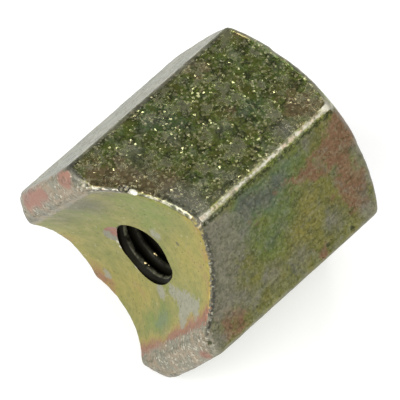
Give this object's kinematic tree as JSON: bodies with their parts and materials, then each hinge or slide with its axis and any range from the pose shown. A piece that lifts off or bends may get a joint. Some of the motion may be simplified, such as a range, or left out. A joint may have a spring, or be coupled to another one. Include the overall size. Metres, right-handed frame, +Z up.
{
  "type": "adjusting nut",
  "caption": "Hexagonal adjusting nut with a tapped through hole, chamfered ends and a half-round saddle across one end that seats against a cross pin.",
  "frame": {"origin": "on the thread's axis, halfway between the saddle's tips and the back face", "axes": "+Z up, square to the flat the nut lies on; Y along the thread, the saddle facing -Y; +X through a corner"},
  "size_m": [0.0196, 0.018, 0.017],
  "materials": {
    "zinc_plating": "yellow-passivated zinc plating on steel, iridescent olive with pink and grey worn patches"
  },
  "bodies": {
    "root": {"adjusting_nut": "zinc_plating"}
  },
  "joints": []
}
